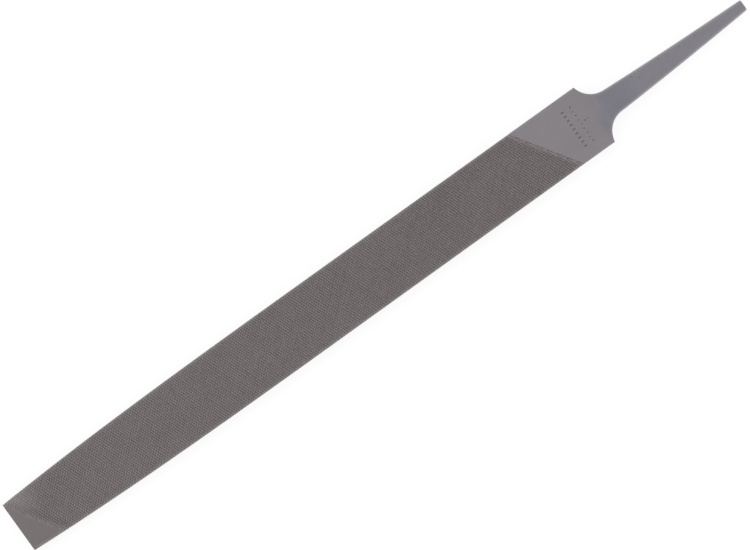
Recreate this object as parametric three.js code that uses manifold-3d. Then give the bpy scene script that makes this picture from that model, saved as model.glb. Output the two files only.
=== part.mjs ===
// The blank of a 200 mm engineer's flat file: blade, heel, shoulders and tang, one forged bar of tool steel.
//
// The file lies flat. +X runs along it from the tip to the tang, +Y across its width and +Z up through
// its thickness. The origin is the middle of its outer box, at the height of the face that it lies on.
// The blank is where two extruded outlines meet: its plan, seen from above, and its profile, seen from
// the side. Teeth are cut below these surfaces and raise nothing above them.

import * as THREE from "three";
import { mergeVertices } from "three/addons/utils/BufferGeometryUtils.js";
import Module from "manifold-3d";

// Driving dimensions, in millimetres. A station is a distance along the file, counted from its tip.
const BLADE_LENGTH = 200; // tip to shoulders, the size a file is sold by
const BLADE_WIDTH = 19.5;
const HEEL_WIDTH = 19.3;
const TIP_WIDTH = 15.8;
const BLADE_THICKNESS = 5;
const TIP_THICKNESS = 3.6;
const TAPER_LENGTH = 100; // the half of the blade that narrows and thins towards the tip
const TAPER_POWER = 3; // a cubic belly: almost parallel where the taper starts, steepest at the tip
const TAPER_STEPS = 20;

const TANG_LENGTH = 52.7;
const TANG_ROOT_WIDTH = 8.5; // measured at the shoulder line
const TANG_END_WIDTH = 3.4;
const TANG_NECK_THICKNESS = 4.2;
const TANG_END_THICKNESS = 2.2;
const TANG_OFFSET = 0.27; // the tang's middle line starts this far beside the blade's
const TANG_LEAN = 0.5; // it first heads this far to the -Y side over the tang's length
const TANG_BEND = 0.36; // but bends back and ends this far beside its start, as forging left it
const NECK_START = 2; // past the shoulder line: where the thickness starts to fall
const NECK_END = 9; // past the shoulder line: where the tang's flat sides start

const SHOULDER_RADIUS = 6.9;
// Each shoulder's sloping face runs from the blade's corner to a foot on the tang's edge line.
const SHOULDERS = [
  { side: -1, corner: BLADE_LENGTH + 0.3, foot: BLADE_LENGTH + 2 },
  { side: 1, corner: BLADE_LENGTH - 0.25, foot: BLADE_LENGTH + 1.1 },
];
const CURVE_STEPS = 12; // straight pieces that stand for each arc and curve
const CUT_MARGIN = 5; // how far the profile's solid reaches past both edges of the plan's

const FILE_LENGTH = BLADE_LENGTH + TANG_LENGTH;
const STEEL = { color: 0x858184, roughness: 0.42, metalness: 0.9 };

// A size that goes from its value at the tip to its full value at the end of the taper.
function tapered(station, atTip, full) {
  const left = 1 - Math.min(station / TAPER_LENGTH, 1);
  return full - (full - atTip) * left ** TAPER_POWER;
}

function taperStations() {
  return Array.from({ length: TAPER_STEPS + 1 }, (_, i) => (TAPER_LENGTH * i) / TAPER_STEPS);
}

// A point on the straight line that a tang edge follows near the shoulders.
function tangEdge(side, station) {
  const along = (station - BLADE_LENGTH) / TANG_LENGTH;
  const width = THREE.MathUtils.lerp(TANG_ROOT_WIDTH, TANG_END_WIDTH, along);
  return new THREE.Vector2(station, TANG_OFFSET - TANG_LEAN * along + (side * width) / 2);
}

function tangEnd(side) {
  return new THREE.Vector2(FILE_LENGTH, TANG_OFFSET + TANG_BEND + (side * TANG_END_WIDTH) / 2);
}

// The key points of one shoulder and its tang edge, going from the blade to the tang's end.
function shoulderPoints({ side, corner, foot }) {
  return {
    corner: new THREE.Vector2(corner, (side * HEEL_WIDTH) / 2),
    foot: tangEdge(side, foot),
    middle: tangEdge(side, BLADE_LENGTH + TANG_LENGTH / 2),
    end: tangEnd(side),
  };
}

// Continues an outline to a rounded corner: a line up to the arc, then the arc that touches both sides.
function roundCorner(shape, corner, next, radius) {
  const into = corner.clone().sub(shape.currentPoint).normalize();
  const out = next.clone().sub(corner).normalize();
  const turn = Math.acos(into.dot(out));
  const leftOrRight = Math.sign(into.cross(out));
  const start = corner.clone().addScaledVector(into, -radius * Math.tan(turn / 2));
  const normal = new THREE.Vector2(-into.y, into.x).multiplyScalar(leftOrRight);
  const centre = start.clone().addScaledVector(normal, radius);
  const from = start.clone().sub(centre).angle();
  shape.lineTo(start.x, start.y);
  shape.absarc(centre.x, centre.y, radius, from, from + leftOrRight * turn, leftOrRight < 0);
}

// The outline from above, anticlockwise from the tip's corner on the -Y side.
function planShape() {
  const [right, left] = SHOULDERS.map(shoulderPoints);
  const edgePoints = (side) =>
    taperStations().map((s) => new THREE.Vector2(s, (side * tapered(s, TIP_WIDTH, BLADE_WIDTH)) / 2));

  const shape = new THREE.Shape(edgePoints(-1));
  shape.lineTo(right.corner.x, right.corner.y);
  roundCorner(shape, right.foot, right.middle, SHOULDER_RADIUS);
  shape.quadraticCurveTo(right.middle.x, right.middle.y, right.end.x, right.end.y);
  shape.lineTo(left.end.x, left.end.y);

  // The other tang edge and shoulder are drawn as a path of their own and joined on backwards.
  const returning = new THREE.Path().moveTo(left.corner.x, left.corner.y);
  roundCorner(returning, left.foot, left.middle, SHOULDER_RADIUS);
  returning.quadraticCurveTo(left.middle.x, left.middle.y, left.end.x, left.end.y);
  for (const point of returning.getPoints(CURVE_STEPS).reverse().slice(1)) shape.lineTo(point.x, point.y);

  for (const point of edgePoints(1).reverse()) shape.lineTo(point.x, point.y);
  return shape;
}

// Half the profile from the side: heights above the middle plane, from the tip to the tang's end.
function upperProfile() {
  const path = new THREE.Path(
    taperStations().map((s) => new THREE.Vector2(s, tapered(s, TIP_THICKNESS, BLADE_THICKNESS) / 2)),
  );
  const neckStart = new THREE.Vector2(BLADE_LENGTH + NECK_START, BLADE_THICKNESS / 2);
  const neckEnd = new THREE.Vector2(BLADE_LENGTH + NECK_END, TANG_NECK_THICKNESS / 2);
  const end = new THREE.Vector2(FILE_LENGTH, TANG_END_THICKNESS / 2);
  // The neck's curve leaves the blade along its own slope and meets the tang's flat side tangentially.
  const tangSlope = (end.y - neckEnd.y) / (end.x - neckEnd.x);
  const bendStation = (neckStart.x + neckEnd.x) / 2;
  path.lineTo(neckStart.x, neckStart.y);
  path.quadraticCurveTo(bendStation, neckEnd.y + tangSlope * (bendStation - neckEnd.x), neckEnd.x, neckEnd.y);
  path.lineTo(end.x, end.y);
  return path.getPoints(CURVE_STEPS);
}

function profileShape() {
  const upper = upperProfile();
  const lower = upper.map((p) => new THREE.Vector2(p.x, -p.y)).reverse();
  return new THREE.Shape([...upper, ...lower]);
}

// A shape extruded by the depth, centred on the plane it is drawn in.
function extrudeCentred(shape, depth) {
  const options = { depth, bevelEnabled: false, curveSegments: CURVE_STEPS };
  return new THREE.ExtrudeGeometry(shape, options).translate(0, 0, -depth / 2);
}

// manifold-3d cuts closed meshes that share their vertices.
const wasm = await Module();
wasm.setup();

function solidOf(geometry) {
  const positions = geometry.clone();
  positions.deleteAttribute("normal");
  positions.deleteAttribute("uv");
  const merged = mergeVertices(positions, 1e-4);
  return new wasm.Manifold(
    new wasm.Mesh({
      numProp: 3,
      vertProperties: new Float32Array(merged.attributes.position.array),
      triVerts: new Uint32Array(merged.index.array),
    }),
  );
}

function geometryOf(solid) {
  const mesh = solid.getMesh();
  const geometry = new THREE.BufferGeometry();
  geometry.setAttribute("position", new THREE.BufferAttribute(mesh.vertProperties, 3));
  geometry.setIndex(new THREE.BufferAttribute(mesh.triVerts, 1));
  return geometry;
}

function fileBlank() {
  const plan = extrudeCentred(planShape(), BLADE_THICKNESS + CUT_MARGIN);
  const profile = extrudeCentred(profileShape(), BLADE_WIDTH + CUT_MARGIN).rotateX(Math.PI / 2);
  const blank = geometryOf(solidOf(plan).intersect(solidOf(profile)));
  blank.computeVertexNormals();
  return blank;
}

const body = new THREE.Mesh(fileBlank(), new THREE.MeshStandardMaterial(STEEL));
body.name = "file_body";
body.position.set(-FILE_LENGTH / 2, 0, BLADE_THICKNESS / 2);

const file = new THREE.Group();
file.add(body);

export default file;
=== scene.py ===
"""A bare 200 mm flat file of hardened steel, lying on a pale floor and seen from straight above.

The blank's outline and thickness are read from the CAD node. One new piece is lofted through them with
rounded corners, then the double-cut teeth of both faces, the single-cut teeth of both edges and a plain
punched mark are cut out of it. Shapes are worked out in millimetres and turned into metres at the end.
"""

import math

import bpy
import numpy as np
from mathutils import Matrix


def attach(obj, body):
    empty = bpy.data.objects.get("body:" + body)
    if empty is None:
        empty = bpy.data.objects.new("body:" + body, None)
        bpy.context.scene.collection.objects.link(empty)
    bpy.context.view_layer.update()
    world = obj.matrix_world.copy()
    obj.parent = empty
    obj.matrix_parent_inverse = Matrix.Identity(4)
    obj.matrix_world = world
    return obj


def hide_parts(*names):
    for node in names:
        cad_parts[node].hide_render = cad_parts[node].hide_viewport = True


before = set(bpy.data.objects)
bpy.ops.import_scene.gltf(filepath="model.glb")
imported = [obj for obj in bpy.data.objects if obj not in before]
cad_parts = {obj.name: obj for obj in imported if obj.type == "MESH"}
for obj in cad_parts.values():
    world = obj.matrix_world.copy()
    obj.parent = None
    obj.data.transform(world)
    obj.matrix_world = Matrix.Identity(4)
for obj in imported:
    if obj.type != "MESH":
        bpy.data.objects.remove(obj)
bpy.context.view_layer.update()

MM = 0.001
NODE = "file_body"
rng = np.random.default_rng(8)

# ---------------------------------------------------------------- the blank, read from the frame


def read_blank():
    """The CAD blank's outline and top profile in millimetres, as functions of the place along X."""
    points = np.array([v.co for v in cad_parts[NODE].data.vertices]) / MM
    stations = np.round(points[:, 0], 3)
    low, high = points.min(axis=0), points.max(axis=0)

    def outermost(side):
        chosen = points[:, 1] * side > 0
        xs = np.unique(stations[chosen])
        ys = [(points[chosen & (stations == x), 1] * side).max() * side for x in xs]
        return xs, np.array(ys)

    tops = np.unique(stations)
    heights = np.array([points[stations == x, 2].max() for x in tops])
    right, left = outermost(-1), outermost(1)
    return {
        "low": low,
        "high": high,
        "stations": tops,
        "right": lambda x: np.interp(x, *right),
        "left": lambda x: np.interp(x, *left),
        "top": lambda x: np.interp(x, tops, heights),
    }


blank = read_blank()
TIP, END = blank["low"][0], blank["high"][0]
THICKNESS = blank["high"][2]
MIDDLE = THICKNESS / 2
BLADE_HALF = blank["high"][1]
HALFWAY = (TIP + END) / 2
STILL_WIDE = 0.97  # the share of its greatest half width from which the blade counts as full


def shoulder_station():
    """Where the blade's full width ends: the last station on which its left edge is still near it."""
    wide = [x for x in blank["stations"] if blank["left"](x) > STILL_WIDE * BLADE_HALF]
    return max(wide)


SHOULDER = shoulder_station()
BLADE = SHOULDER - TIP

# ---------------------------------------------------------------- tooth pattern, in millimetres

# Each cut is a set of straight chisel strokes. The slant is the angle between a stroke and the blade's
# axis, positive where the stroke leans back towards the tang on the -Y side. A profile lists shares of
# the pitch, counted from a crest towards the tang, and how deep the groove is there as a share of depth.
UPCUT = {"slant": 69.2, "pitch": 0.680, "depth": 0.24, "profile": ((0, 0), (0.74, 1))}
OVERCUT = {"slant": -42.1, "pitch": 0.680, "depth": 0.22, "profile": ((0, 0), (0.62, 1))}
EDGE_CUT = {"slant": 18.0, "pitch": 0.76, "depth": 0.16, "profile": ((0, 0), (0.45, 0.45), (0.8, 1))}
CREST_DROP = 0.015  # crests lie this far inside the blank, so that a cut never grazes its surface
PLACE_JITTER = 0.015  # how unevenly strokes are spaced, as a share of the pitch
DEPTH_JITTER = 0.035  # and how unevenly deep they are, as a share of the depth
TOOTH_JITTER = 0.05  # how much the depth varies from tooth to tooth along a stroke
CROSSING_FILL = 0.75  # how much of the overcut's depth is lost where it crosses an upcut groove
FAINTEST = 0.12  # the overcut's share of its depth on the bare patch at the tip
DEEPEST = UPCUT["depth"] + OVERCUT["depth"] * (1 - CROSSING_FILL)  # where the grooves of both cuts cross

CUT_LINE_SLANT = 56.7  # the line on the heel where the teeth start, and the one near the tip
CUT_LINE_PLACE = 0.9179 * BLADE  # where the heel's line crosses the blade's middle, from the tip
TIP_LINE_PLACE = 0.02 * BLADE  # where the line near the tip crosses it
TIP_RUN = 2.6  # over this length past the tip's line the teeth reach their full depth
HEEL_RUN = 1.2  # and over this length before the heel's line they grow shallower again
HEEL_SHARE = 0.5  # down to this share of it
WORN_REACH = 14  # how far from the tip's left corner the teeth are worn down
WORN_SHARE = 0.35  # to this share of their depth at the corner
RISE_PAST_LINE = 6  # slope with which a cutter leaves the blank beyond the line
HIGHEST_RISE = 2  # and how high above the blank that slope ends
CUT_MARGIN = 1.3  # how far a cutter reaches past the blank's outline
CUTTER_TOP = 4.0  # how far it reaches beyond the blank
EDGE_LEAD = 1  # how far before the tip the strokes of the narrow edges begin
EDGE_OVERLAP = 0.5  # how far their cutter reaches past both broad faces


def stroke_normal(slant):
    """The unit vector square to a stroke, pointing towards the tang."""
    angle = math.radians(slant)
    return np.array([math.sin(abs(angle)), math.copysign(math.cos(angle), slant)])


def stroke_positions(cut, low, high):
    """Phases of every stroke's profile points from low to high, with their depths."""
    strokes = np.arange(math.floor(low), math.ceil(high) + 1)
    shift = rng.uniform(-PLACE_JITTER, PLACE_JITTER, len(strokes))
    strength = 1 + rng.uniform(-DEPTH_JITTER, DEPTH_JITTER, len(strokes))
    share = np.array([s for s, _ in cut["profile"]])
    depth = np.array([d for _, d in cut["profile"]]) * cut["depth"]
    phases = (strokes + shift)[:, None] + share[None, :]
    depths = strength[:, None] * depth[None, :]
    return phases.ravel(), depths.ravel()


def past_line(x, y, place):
    """Distance towards the tang from a slanted line that crosses the blade's middle at a place."""
    normal = stroke_normal(CUT_LINE_SLANT)
    return (x - TIP - place) * normal[0] + y * normal[1]


def smooth_step(t):
    t = np.clip(t, 0, 1)
    return t * t * (3 - 2 * t)


def tooth_grid():
    """Points of the toothed surface, in a grid whose rows follow the strokes of both cuts."""
    normals = np.array([stroke_normal(c["slant"]) / c["pitch"] for c in (UPCUT, OVERCUT)])
    reach = BLADE_HALF + CUT_MARGIN
    ends = (TIP - CUT_MARGIN, SHOULDER)
    corners = np.array([(x, y) for x in ends for y in (-reach, reach)]) @ normals.T
    up_phase, up_depth = stroke_positions(UPCUT, corners[:, 0].min(), corners[:, 0].max())
    over_phase, over_depth = stroke_positions(OVERCUT, corners[:, 1].min(), corners[:, 1].max())

    phase = np.stack(np.meshgrid(up_phase, over_phase, indexing="ij"), axis=-1)
    place = phase @ np.linalg.inv(normals).T
    x, y = place[..., 0], place[..., 1]

    inside = -past_line(x, y, CUT_LINE_PLACE)
    worn = WORN_SHARE + (1 - WORN_SHARE) * smooth_step(np.hypot(x - TIP, y - BLADE_HALF) / WORN_REACH)
    fade = worn * smooth_step(past_line(x, y, TIP_LINE_PLACE) / TIP_RUN)
    fade *= HEEL_SHARE + (1 - HEEL_SHARE) * smooth_step(inside / HEEL_RUN)
    upcut = up_depth[:, None] * fade
    overcut = over_depth[None, :] * (FAINTEST + (1 - FAINTEST) * fade)
    groove = upcut + overcut * (1 - CROSSING_FILL * upcut / UPCUT["depth"])
    groove *= 1 + rng.uniform(-TOOTH_JITTER, TOOTH_JITTER, groove.shape)

    # The strokes stop at a straight line: on each overcut stroke the nearest point moves onto it.
    nearest = np.abs(inside).argmin(axis=0), np.arange(x.shape[1])
    slant = math.radians(OVERCUT["slant"])
    along = np.array([math.cos(slant), -math.sin(slant)])
    step = inside[nearest] / (along @ stroke_normal(CUT_LINE_SLANT))
    step[np.abs(step) > UPCUT["pitch"]] = 0
    x[nearest] += along[0] * step
    y[nearest] += along[1] * step
    inside[nearest] = np.where(step == 0, inside[nearest], 0)
    z = -CREST_DROP - np.where(inside >= 0, groove, np.maximum(inside * RISE_PAST_LINE, -HIGHEST_RISE))
    kept = (np.abs(y) < reach) & (x > ends[0]) & (inside > -CUT_MARGIN)
    return x, y, z, kept


def sheet_to_cutter(x, y, z, kept):
    """A closed solid between a grid of points and a flat lid above it, as points and faces."""
    rows, columns = x.shape
    index = np.arange(rows * columns).reshape(rows, columns)
    quad = kept[:-1, :-1] & kept[1:, :-1] & kept[1:, 1:] & kept[:-1, 1:]
    a, b = index[:-1, :-1][quad], index[1:, :-1][quad]
    c, d = index[1:, 1:][quad], index[:-1, 1:][quad]
    used = np.unique(np.concatenate([a, b, c, d]))
    renumber = np.full(rows * columns, -1)
    renumber[used] = np.arange(len(used))
    a, b, c, d = (renumber[i] for i in (a, b, c, d))
    count = len(used)

    surface = np.stack([x.ravel()[used], y.ravel()[used], z.ravel()[used]], axis=1)
    lid = surface.copy()
    lid[:, 2] = CUTTER_TOP
    lower = np.concatenate([np.stack([a, b, d], axis=1), np.stack([b, c, d], axis=1)])
    upper = np.stack([d, c, b, a], axis=1) + count

    rim = np.concatenate([np.stack(pair, axis=1) for pair in ((a, b), (b, c), (c, d), (d, a))])
    key, opposite = rim[:, 0] * count + rim[:, 1], rim[:, 1] * count + rim[:, 0]
    rim = rim[~np.isin(key, opposite)]
    wall = np.stack([rim[:, 1], rim[:, 0], rim[:, 0] + count, rim[:, 1] + count], axis=1)
    faces = lower.tolist() + upper.tolist() + wall.tolist()
    return np.concatenate([surface, lid]), faces


def face_cutter(side):
    """The cutter for the upper face (side 1) or, turned half round the X axis, the lower face (side -1)."""
    x, y, z, kept = tooth_grid()
    points, faces = sheet_to_cutter(x, y, z, kept)
    points[:, 2] += blank["top"](points[:, 0]) - MIDDLE
    points[:, 1] *= side
    points[:, 2] = MIDDLE + side * points[:, 2]
    return mesh_object("face_cutter", points, faces)


def edge_cutter(side):
    """The cutter for one narrow edge: a comb whose strokes cross the blade's thickness at a slant."""
    edge = blank["left"] if side > 0 else blank["right"]
    stop = TIP + CUT_LINE_PLACE - side * BLADE_HALF / math.tan(math.radians(CUT_LINE_SLANT))
    low, high = (TIP - EDGE_LEAD) / EDGE_CUT["pitch"], stop / EDGE_CUT["pitch"]
    phase, depth = stroke_positions(EDGE_CUT, low, high)
    x = phase * EDGE_CUT["pitch"]
    run_out = np.clip((x - stop) / EDGE_CUT["pitch"], 0, None)
    lean = math.tan(math.radians(EDGE_CUT["slant"]))
    outer = np.full(len(x), BLADE_HALF + CUTTER_TOP)
    corners = []
    for height in (-1, 1):
        z = np.full(len(x), MIDDLE + height * (MIDDLE + EDGE_OVERLAP))
        at = x + height * lean * MIDDLE
        inner = np.abs(edge(at)) - CREST_DROP - depth * np.clip(1 - run_out, 0, 1) + run_out
        corners.append([np.stack([at, side * y, z], axis=1) for y in (inner, outer)])
    (low_in, low_out), (high_in, high_out) = corners
    loops = np.stack([low_in, high_in, high_out, low_out], axis=1)
    return tube_object("edge_cutter", loops[:, ::-1] if side > 0 else loops)


# ---------------------------------------------------------------- punched mark on the heel

MARK_DEPTH = 0.2
MARK_RISE = 0.05  # how far a punch reaches above the surface
MARK_PITCH = 1.42  # from dent to dent across the heel
MARK_COUNT = 9
# How far each row lies from the shoulder, and the half axes of the ellipse that a dent's corners lie on.
DIAMONDS = {"back": 6.8, "half": (1.2, 0.52)}
TRIANGLES = {"back": 4.2, "half": (0.8, 0.55)}
# The two square dents, the same way, and how far they lie beside the heel's middle.
SQUARES = ({"back": 1.6, "half": (0.5, 0.5)}, {"back": 2.65, "half": (0.28, 0.28)})
SQUARES_ASIDE = 0.3
HALF_TURN, SQUARE_ON = 1.5, 0.5  # turns of a triangle and of a square, counted in their own sides


def punched_dent(dent, y, sides, turn=0.0):
    """The cutter for one pointed dent, whose outline has its corners on an ellipse."""
    x = SHOULDER - dent["back"]
    half_x, half_y = dent["half"]
    surface = float(blank["top"](x))
    wider = (MARK_DEPTH + MARK_RISE) / MARK_DEPTH
    angles = [math.tau * (i + turn) / sides for i in range(sides)]
    rim = [(half_x * wider * math.cos(a), half_y * wider * math.sin(a)) for a in angles]
    points = [(x + rim_x, y + rim_y, surface + MARK_RISE) for rim_x, rim_y in rim]
    points.append((x, y, surface - MARK_DEPTH))
    faces = [tuple(range(sides))]
    faces += [((i + 1) % sides, i, sides) for i in range(sides)]
    return points, faces


def mark_cutter():
    """A plain punched pattern across the heel, of diamonds, triangles and two squares: no letters."""
    parts = []
    for i in range(MARK_COUNT):
        y = (i - (MARK_COUNT - 1) / 2) * MARK_PITCH
        parts.append(punched_dent(DIAMONDS, y, 4))
        parts.append(punched_dent(TRIANGLES, y, 3, turn=HALF_TURN * (i % 2)))
    parts += [punched_dent(square, SQUARES_ASIDE, 4, turn=SQUARE_ON) for square in SQUARES]
    points, faces = [], []
    for part_points, part_faces in parts:
        start = len(points)
        points += part_points
        faces += [tuple(i + start for i in face) for face in part_faces]
    return mesh_object("mark_cutter", points, faces)


# ---------------------------------------------------------------- meshes

BLADE_CORNER = 0.2  # radius of the long edges on the ground blade
TANG_CORNER = 0.65  # and on the forged tang
CORNER_CHANGE = (1, 9)  # past the shoulder: from where to where the one becomes the other
LEAST_CORNER = 0.2  # the share of its radius that a long edge keeps at the body's ends
TIP_ROUNDING = 0.2
TANG_END_ROUNDING = 0.25
CORNER_STEPS = 5
RIM = 1.2  # width of the strips along the body's long edges, which carry a painted highlight
WIDEST_RIM = 0.8  # the greatest share of half the width or thickness that they take up


def mesh_object(name, points, faces):
    mesh = bpy.data.meshes.new(name)
    mesh.from_pydata([tuple(p) for p in points], [], faces)
    mesh.update()
    made = bpy.data.objects.new(name, mesh)
    bpy.context.scene.collection.objects.link(made)
    return made


def tube_object(name, loops):
    """A closed tube through a row of loops with the same number of points, with a flat cap at each end."""
    count, around = loops.shape[:2]
    faces = [tuple(range(around))[::-1], tuple(range((count - 1) * around, count * around))]
    for i in range(count - 1):
        for j in range(around):
            k = (j + 1) % around
            faces.append((i * around + j, i * around + k, (i + 1) * around + k, (i + 1) * around + j))
    return mesh_object(name, loops.reshape(-1, 3), faces)


def corner_radius(x):
    """Edges are crisp on the ground blade and rounder on the forged tang."""
    start, stop = CORNER_CHANGE
    change = smooth_step((x - SHOULDER - start) / (stop - start))
    return BLADE_CORNER + (TANG_CORNER - BLADE_CORNER) * change


def section(x, inset):
    """The rounded rectangle that is the blank's section at x, drawn in by the inset."""
    right, left = float(blank["right"](x)), float(blank["left"](x))
    top = float(blank["top"](x))
    radius = float(corner_radius(x))
    half_z = top - MIDDLE - inset
    centre, half_y = (left + right) / 2, (left - right) / 2 - inset
    round_part = max(radius - inset, radius * LEAST_CORNER)
    rim_y, rim_z = min(RIM, half_y * WIDEST_RIM), min(RIM, half_z * WIDEST_RIM)
    points = []
    for corner, (sy, sz) in enumerate(((1, 1), (-1, 1), (-1, -1), (1, -1))):
        beside = (x, centre + sy * half_y, MIDDLE + sz * (half_z - rim_z))
        on_face = (x, centre + sy * (half_y - rim_y), MIDDLE + sz * half_z)
        arc = []
        for step in range(CORNER_STEPS + 1):
            angle = math.pi / 2 * (corner + step / CORNER_STEPS)
            y = centre + sy * (half_y - round_part) + round_part * math.cos(angle)
            z = MIDDLE + sz * (half_z - round_part) + round_part * math.sin(angle)
            arc.append((x, y, z))
        points += [beside, *arc, on_face] if corner % 2 == 0 else [on_face, *arc, beside]
    return points


def body_loft():
    """The smooth body: sections at every CAD station, and a few more that round its two ends."""
    stations = {*blank["stations"], HALFWAY}
    places = [(x, 0.0) for x in stations]
    turns = [math.pi / 2 * i / CORNER_STEPS for i in range(CORNER_STEPS)]
    for end, inward, radius in ((TIP, 1, TIP_ROUNDING), (END, -1, TANG_END_ROUNDING)):
        places = [(x, inset) for x, inset in places if abs(x - end) > radius]
        rounding = [(end + inward * radius * (1 - math.cos(t)), radius * (1 - math.sin(t))) for t in turns]
        places += rounding + [(end + inward * radius, 0.0)]
    places.sort()
    loops = np.array([section(x, inset) for x, inset in places])
    return tube_object("body", loops)


def apply_modifiers(made):
    graph = bpy.context.evaluated_depsgraph_get()
    result = bpy.data.meshes.new_from_object(made.evaluated_get(graph))
    made.modifiers.clear()
    made.data = result


def cut(body, cutters):
    """Takes each cutter out of the body, then removes the cutter."""
    for cutter in cutters:
        modifier = body.modifiers.new("cut", "BOOLEAN")
        modifier.operation = "DIFFERENCE"
        modifier.solver = "MANIFOLD"
        modifier.object = cutter
        apply_modifiers(body)
        bpy.data.objects.remove(cutter)


SHARP_ANGLE = 20  # degrees between faces, from which an edge is drawn hard


def shade(body):
    """Smooth shading that keeps flat faces flat, with hard edges at the teeth's crests and roots."""
    body.data.polygons.foreach_set("use_smooth", np.ones(len(body.data.polygons), bool))
    body.data.set_sharp_from_angle(angle=math.radians(SHARP_ANGLE))
    even = body.modifiers.new("even", "WEIGHTED_NORMAL")
    even.keep_sharp = True
    even.weight = 100
    apply_modifiers(body)


def write_attribute(mesh, name, values):
    attribute = mesh.attributes.new(name, "FLOAT", "POINT")
    attribute.data.foreach_set("value", values.astype(np.float32))


def describe_points(mesh):
    """Point attributes: groove, the share of the teeth's full depth, and rim, how near an edge is."""
    points = np.array([v.co for v in mesh.vertices])
    x, y, z = points.T
    below_face = blank["top"](x) - MIDDLE - np.abs(z - MIDDLE)
    beside_edge = np.minimum(blank["left"](x) - y, y - blank["right"](x))
    depth = np.minimum(below_face, beside_edge) / DEEPEST
    no_groove = (past_line(x, y, CUT_LINE_PLACE) > 0) & ((beside_edge < RIM) | (x > SHOULDER))
    depth[no_groove] = 0
    write_attribute(mesh, "groove", np.clip(depth, 0, 1))
    write_attribute(mesh, "rim", 1 - smooth_step(np.maximum(below_face, beside_edge) / RIM))


CHART_GAP = 1.2  # between the charts of the unfolded surface
END_FACING = 0.9  # least X part of a normal that belongs to one of the two ends
END_REACH = 0.5  # and how near to that end its face lies


def unfold(mesh):
    """A UV layer with flat charts: the four long sides of each half of the file in rows, and its two ends."""
    corner_points = np.empty(len(mesh.loops), int)
    mesh.loops.foreach_get("vertex_index", corner_points)
    points = np.array([v.co for v in mesh.vertices])[corner_points]
    face_sizes = np.array([p.loop_total for p in mesh.polygons])
    normal = np.repeat(np.array([p.normal for p in mesh.polygons]), face_sizes, axis=0)
    centre = np.repeat(np.array([p.center for p in mesh.polygons]), face_sizes, axis=0)

    upright = np.abs(normal[:, 2]) >= np.abs(normal[:, 1])
    from_end = np.minimum(centre[:, 0] - TIP, END - centre[:, 0])
    end = (np.abs(normal[:, 0]) > END_FACING) & (from_end < END_REACH)
    front = centre[:, 0] < HALFWAY
    halves = ((front, TIP), (~front, HALFWAY))
    sides = ((upright, 1, BLADE_HALF), (~upright, 2, THICKNESS / 2))

    along, across = np.zeros(len(points)), np.zeros(len(points))
    row = CHART_GAP
    for in_half, start in halves:
        for facing, axis, half_height in sides:
            for sign in (1, -1):
                outward = normal[:, 3 - axis] * sign > 0
                chosen = in_half & facing & outward & ~end
                middle = 0 if axis == 1 else MIDDLE
                along[chosen] = points[chosen, 0] - start + CHART_GAP
                across[chosen] = row + half_height + sign * (points[chosen, axis] - middle)
                row += 2 * half_height + CHART_GAP
    for near_tip, start in ((True, CHART_GAP), (False, 2 * BLADE_HALF + 2 * CHART_GAP)):
        chosen = end & (front == near_tip)
        along[chosen] = start + BLADE_HALF + points[chosen, 1]
        across[chosen] = row + points[chosen, 2]

    size = HALFWAY - TIP + 2 * CHART_GAP
    layer = mesh.uv_layers.new(name="OFBake")
    layer.data.foreach_set("uv", (np.stack([along, across], axis=1) / size).ravel())


def make_body():
    body = body_loft()
    cutters = [face_cutter(1), face_cutter(-1), edge_cutter(1), edge_cutter(-1), mark_cutter()]
    cut(body, cutters)
    body.name = "steel_file"
    describe_points(body.data)
    unfold(body.data)
    body.data.transform(Matrix.Scale(MM, 4))
    shade(body)
    return body


# ---------------------------------------------------------------- materials


def linear(red, green, blue):
    """A colour given as the eye judges it, from 0 to 1, as the light values that a shader takes."""
    values = [v / 12.92 if v <= 0.04045 else ((v + 0.055) / 1.055) ** 2.4 for v in (red, green, blue)]
    return (*values, 1.0)


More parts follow.
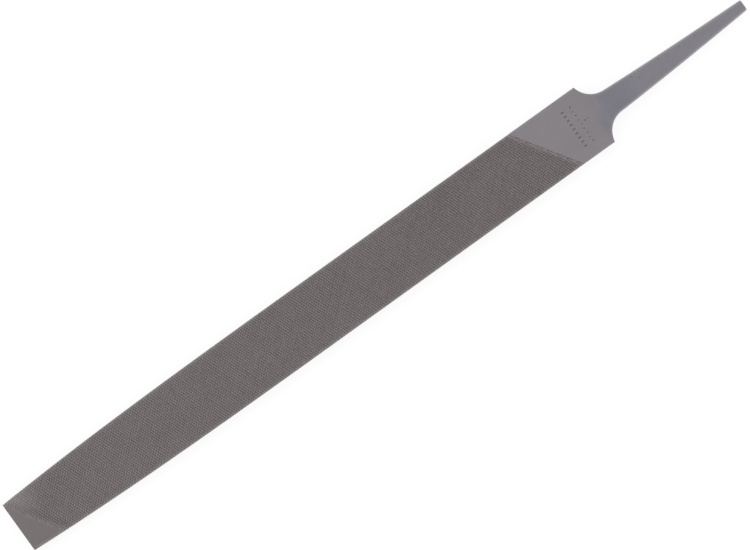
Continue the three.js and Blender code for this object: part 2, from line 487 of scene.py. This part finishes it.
class Tree:
    """Short calls that add nodes to one material, with every length in millimetres."""

    def __init__(self, material):
        self.tree = material.node_tree
        self.shader = self.tree.nodes["Principled BSDF"]
        place = self.tree.nodes.new("ShaderNodeTexCoord").outputs["Object"]
        self.place = self.add("ShaderNodeVectorMath", {0: place, "Scale": 1 / MM}, operation="SCALE")
        parts = self.tree.nodes.new("ShaderNodeSeparateXYZ")
        self.link(parts.inputs[0], self.place)
        self.x, self.y = parts.outputs[:2]

    def link(self, socket, value):
        if isinstance(value, bpy.types.NodeSocket):
            self.tree.links.new(value, socket)
        else:
            socket.default_value = value

    def add(self, kind, inputs, output=0, **settings):
        node = self.tree.nodes.new(kind)
        for name, value in settings.items():
            setattr(node, name, value)
        for name, value in inputs.items():
            self.link(node.inputs[name], value)
        return node.outputs[output]

    def math(self, operation, a, b):
        return self.add("ShaderNodeMath", {0: a, 1: b}, operation=operation)

    def plus(self, a, b):
        return self.math("ADD", a, b)

    def times(self, a, b):
        return self.math("MULTIPLY", a, b)

    def attribute(self, name):
        return self.add("ShaderNodeAttribute", {}, output="Fac", attribute_name=name)

    def band(self, value, low, high, at_low=0.0, at_high=1.0):
        """A value that goes smoothly from at_low to at_high as another goes from low to high."""
        inputs = {"Value": value, 1: low, 2: high, 3: at_low, 4: at_high}
        return self.add("ShaderNodeMapRange", inputs, interpolation_type="SMOOTHSTEP")

    def swing(self, noise, amount):
        """Noise as a brightness that swings about 1 by the amount."""
        return self.band(noise, 0.3, 0.7, 1 - amount, 1 + amount)

    def noise(self, size, detail=2.0, stretch=(1, 1, 1)):
        """Noise whose blotches are about as wide as the size, drawn out by the stretch."""
        scale = tuple(1 / (size * s) for s in stretch)
        place = self.add("ShaderNodeVectorMath", {0: self.place, 1: scale}, operation="MULTIPLY")
        return self.add("ShaderNodeTexNoise", {"Vector": place, "Scale": 1.0, "Detail": detail})

    def mix(self, factor, a, b, blend="MIX"):
        node = self.tree.nodes.new("ShaderNodeMix")
        node.data_type = "RGBA"
        node.blend_type = blend
        for socket, value in ((node.inputs[0], factor), (node.inputs[6], a), (node.inputs[7], b)):
            self.link(socket, value)
        return node.outputs[2]

    def grey(self, value):
        return self.add("ShaderNodeCombineColor", {0: value, 1: value, 2: value})


def new_material(name):
    material = bpy.data.materials.new(name)
    material.use_nodes = True
    return material


HEEL_STEEL = linear(0.604, 0.582, 0.60)
CUT_STEEL = linear(0.49, 0.468, 0.466)
# A lighter copy of the cut steel, painted on the tooth slopes away from the crests to offset the shade that
# falls in the grooves.
LIT_TOOTH_STEEL = linear(0.558, 0.532, 0.532)
TANG_STEEL = linear(0.582, 0.574, 0.60)
NECK_STEEL = linear(0.55, 0.542, 0.582)
# Painted shade for the deepest grooves and the punched dents; the specks on the tang also take this colour.
SHADE_AND_SPECK_STEEL = linear(0.24, 0.225, 0.225)
# A painted highlight along the long edges, in place of the light that they catch.
EDGE_HIGHLIGHT_STEEL = linear(0.69, 0.67, 0.68)

# How wide the steel's patterns are, in millimetres.
WAVES = 6.0  # of the border between heel and tang
CLOUDS = 6.0
# the patches of the highlight painted along the long edges
EDGE_HIGHLIGHT_PATCHES = 3.0
SCALE_MARKS = 1.6
SPECKS = 0.7
ROUGHNESS_SPOTS = 0.3
PITS = 0.2
GRAIN = 0.16
SCRATCHES = 0.12

# Past the shoulder: from where to where the heel's look becomes the tang's, and the neck's fades.
TANG_BORDER = (2, 8)
NECK_BORDER = (10, 20)
CUT_BORDER = (-0.3, 0.1)  # and past the heel's line: where the cut part's look ends

# How strongly each thing shows: a share of a colour, or a swing of the brightness about 1.
# The share of painted shade in the deepest grooves, where the two cuts cross.
GROOVE_SHADE = 0.47
# The share of painted shade in the punched dents.
DENT_SHADE = 0.55
SPECK_DARKNESS = 0.5
# the lowest and highest shares of the painted edge highlight
EDGE_HIGHLIGHT_SHARES = (0.22, 0.36)
CLOUD_SWING = 0.02
GRAIN_SWING = 0.05

# Heights in millimetres, for the relief that is shaded and not modelled.
FINE_RELIEF = 0.006
SCALE_RELIEF = 0.05
RELIEF_STRENGTH = 0.6


def steel_places(t):
    """How far each place belongs to the tang, the neck, the cut part and the teeth at full depth."""
    normal = stroke_normal(CUT_LINE_SLANT)
    along = t.plus(t.times(t.x, normal[0]), t.times(t.y, normal[1]))
    heel_line = (TIP + CUT_LINE_PLACE) * normal[0]
    tip_line = (TIP + TIP_LINE_PLACE) * normal[0]
    wavy_x = t.plus(t.x, t.times(t.noise(WAVES), WAVES))

    tang = t.band(wavy_x, *(SHOULDER + place for place in TANG_BORDER))
    neck = t.times(tang, t.band(wavy_x, *(SHOULDER + place for place in NECK_BORDER), 1.0, 0.0))
    cut_part = t.band(along, *(heel_line + place for place in CUT_BORDER), 1.0, 0.0)
    full_depth = t.band(along, tip_line + TIP_RUN / 3, tip_line + TIP_RUN * 1.5)
    return tang, neck, cut_part, t.times(cut_part, full_depth)


def steel_colour(t, places, groove):
    """Painted shade in the deepest grooves and in the dents, a lighter tone painted on the tooth slopes to
    offset their shade, a painted highlight in patches along the long edges, and clouds, grain and a few
    specks.
    """
    tang, neck, cut_part, toothed = places
    colour = t.mix(tang, HEEL_STEEL, TANG_STEEL)
    colour = t.mix(neck, colour, NECK_STEEL)
    colour = t.mix(cut_part, colour, CUT_STEEL)
    # Painted light: the tooth slopes take the lighter copy of the cut steel, against the shade in the
    # grooves.
    colour = t.mix(t.times(toothed, t.band(groove, 0.1, 0.35)), colour, LIT_TOOTH_STEEL)
    # Painted shade: the deepest parts of the grooves are darkened in the colour.
    colour = t.mix(t.times(t.band(groove, 0.62, 1.0), GROOVE_SHADE), colour, SHADE_AND_SPECK_STEEL)
    # Painted shade in the punched dents beyond the cut part.
    dent_shade = t.math("MAXIMUM", t.math("SUBTRACT", t.band(groove, 0.0, 0.45), cut_part), 0.0)
    colour = t.mix(t.times(dent_shade, DENT_SHADE), colour, SHADE_AND_SPECK_STEEL)
    # Painted highlight: a paler steel in patches along the long edges.
    edge_highlight = t.times(t.attribute("rim"), t.band(t.noise(EDGE_HIGHLIGHT_PATCHES), 0.35, 0.65, *EDGE_HIGHLIGHT_SHARES))
    colour = t.mix(edge_highlight, colour, EDGE_HIGHLIGHT_STEEL)

    clouds = t.swing(t.noise(CLOUDS, stretch=(3, 1, 1)), CLOUD_SWING)
    grain = t.swing(t.noise(GRAIN), GRAIN_SWING)
    colour = t.mix(1.0, colour, t.grey(t.times(clouds, grain)), "MULTIPLY")
    specks = t.band(t.noise(SPECKS), 0.67, 0.75)
    return t.mix(t.times(specks, t.times(tang, SPECK_DARKNESS)), colour, SHADE_AND_SPECK_STEEL)


def steel_relief(t, tang):
    """Fine grinding marks run across the blade, and coarser hammer and scale marks lie on the tang."""
    scratches = t.times(t.noise(SCRATCHES, stretch=(1, 14, 14)), FINE_RELIEF)
    pits = t.times(t.noise(PITS), FINE_RELIEF)
    scale_marks = t.times(t.times(t.noise(SCALE_MARKS, detail=3.0), tang), SCALE_RELIEF)
    height = t.plus(t.plus(scratches, pits), scale_marks)
    return t.add("ShaderNodeBump", {"Height": height, "Distance": MM, "Strength": RELIEF_STRENGTH})


def file_material():
    """Bare hardened steel: a warm grey where it is cut, cooler on the tang, rougher down in the grooves,
    where shade is also painted into the colour.
    """
    material = new_material("file_steel")
    t = Tree(material)
    groove = t.attribute("groove")
    places = steel_places(t)
    rough = t.band(t.noise(ROUGHNESS_SPOTS), 0.3, 0.7, 0.36, 0.46)
    t.link(t.shader.inputs["Base Color"], steel_colour(t, places, groove))
    t.link(t.shader.inputs["Roughness"], t.plus(rough, t.times(groove, 0.12)))
    t.link(t.shader.inputs["Normal"], steel_relief(t, places[0]))
    t.shader.inputs["Metallic"].default_value = 1.0
    return material


FLOOR_GREY = (0.2, 0.2, 0.2, 1)
FLOOR_GLOW = 0.84


def floor_material():
    """A pale floor lit evenly from within, so that only a faint shadow shows on it."""
    material = new_material("pale_floor")
    shader = material.node_tree.nodes["Principled BSDF"]
    shader.inputs["Base Color"].default_value = FLOOR_GREY
    shader.inputs["Roughness"].default_value = 0.9
    shader.inputs["Specular IOR Level"].default_value = 0.0
    shader.inputs["Emission Color"].default_value = (1, 1, 1, 1)
    shader.inputs["Emission Strength"].default_value = FLOOR_GLOW
    return material


# ---------------------------------------------------------------- floor, light and camera

FLOOR_HALF = 3.0  # in metres, as are the lamp's place and size
TENT_AXIS = (-0.3, 0.05, 0.95)  # the direction in which the tent is darkest
TENT_LOW = 1.35  # its brightness square to that direction
TENT_OVERHEAD = 0.56  # and along it
LAMP_PLACE = (-0.9, 0.7, 1.5)
LAMP_SIZE = 0.9
LAMP_POWER = 6.0


def make_floor():
    half = FLOOR_HALF
    corners = [(-half, -half, 0), (half, -half, 0), (half, half, 0), (-half, half, 0)]
    floor = mesh_object("floor", corners, [(0, 1, 2, 3)])
    floor.data.materials.append(floor_material())
    return floor


def make_light():
    """A pale studio tent, brighter low down than overhead, and one soft box from the tip's side."""
    world = bpy.data.worlds.new("tent")
    world.use_nodes = True
    nodes, links = world.node_tree.nodes, world.node_tree.links
    direction = nodes.new("ShaderNodeTexCoord").outputs["Generated"]
    slope = nodes.new("ShaderNodeVectorMath")
    slope.operation = "DOT_PRODUCT"
    slope.inputs[1].default_value = TENT_AXIS
    links.new(direction, slope.inputs[0])
    ramp = nodes.new("ShaderNodeMapRange")
    ramp.inputs["To Min"].default_value = TENT_LOW
    ramp.inputs["To Max"].default_value = TENT_OVERHEAD
    links.new(slope.outputs["Value"], ramp.inputs["Value"])
    links.new(ramp.outputs["Result"], nodes["Background"].inputs["Strength"])
    nodes["Background"].inputs["Color"].default_value = (1, 1, 1, 1)
    bpy.context.scene.world = world

    data = bpy.data.lights.new("soft_box", "AREA")
    data.energy = LAMP_POWER
    data.size = LAMP_SIZE
    lamp = bpy.data.objects.new("soft_box", data)
    lamp.location = LAMP_PLACE
    lamp.rotation_euler = (-lamp.location).to_track_quat("-Z", "Y").to_euler()
    bpy.context.scene.collection.objects.link(lamp)


LENS, SENSOR = 100.0, 36.0
ROLL = math.radians(35.66)  # the file climbs to the right by this angle
PICTURE_SHAPE = 15 / 11  # width to height
FILL = 0.999  # how much of the picture's height the file takes up


def make_camera():
    """Straight above the file, far enough away for it to fill the picture from corner to corner."""
    outline = [(x, edge(x)) for x in blank["stations"] for edge in (blank["left"], blank["right"])]
    across = [x * math.cos(ROLL) - y * math.sin(ROLL) for x, y in outline]
    upward = [x * math.sin(ROLL) + y * math.cos(ROLL) for x, y in outline]
    middle_across, middle_up = (min(across) + max(across)) / 2, (min(upward) + max(upward)) / 2
    aim_x = middle_across * math.cos(ROLL) + middle_up * math.sin(ROLL)
    aim_y = middle_up * math.cos(ROLL) - middle_across * math.sin(ROLL)
    view_width = (max(upward) - min(upward)) / FILL * PICTURE_SHAPE
    distance = view_width * LENS / SENSOR

    data = bpy.data.cameras.new("camera")
    data.lens = LENS
    data.sensor_width = SENSOR
    camera = bpy.data.objects.new("camera", data)
    camera.location = (aim_x * MM, aim_y * MM, (MIDDLE + distance) * MM)
    camera.rotation_euler = (0, 0, -ROLL)
    bpy.context.scene.collection.objects.link(camera)
    bpy.context.scene.camera = camera


bpy.context.scene.view_settings.view_transform = "Standard"
make_camera()
make_light()
floor = make_floor()

body = make_body()
body.data.materials.clear()
body.data.materials.append(file_material())
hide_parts(NODE)
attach(body, "root")
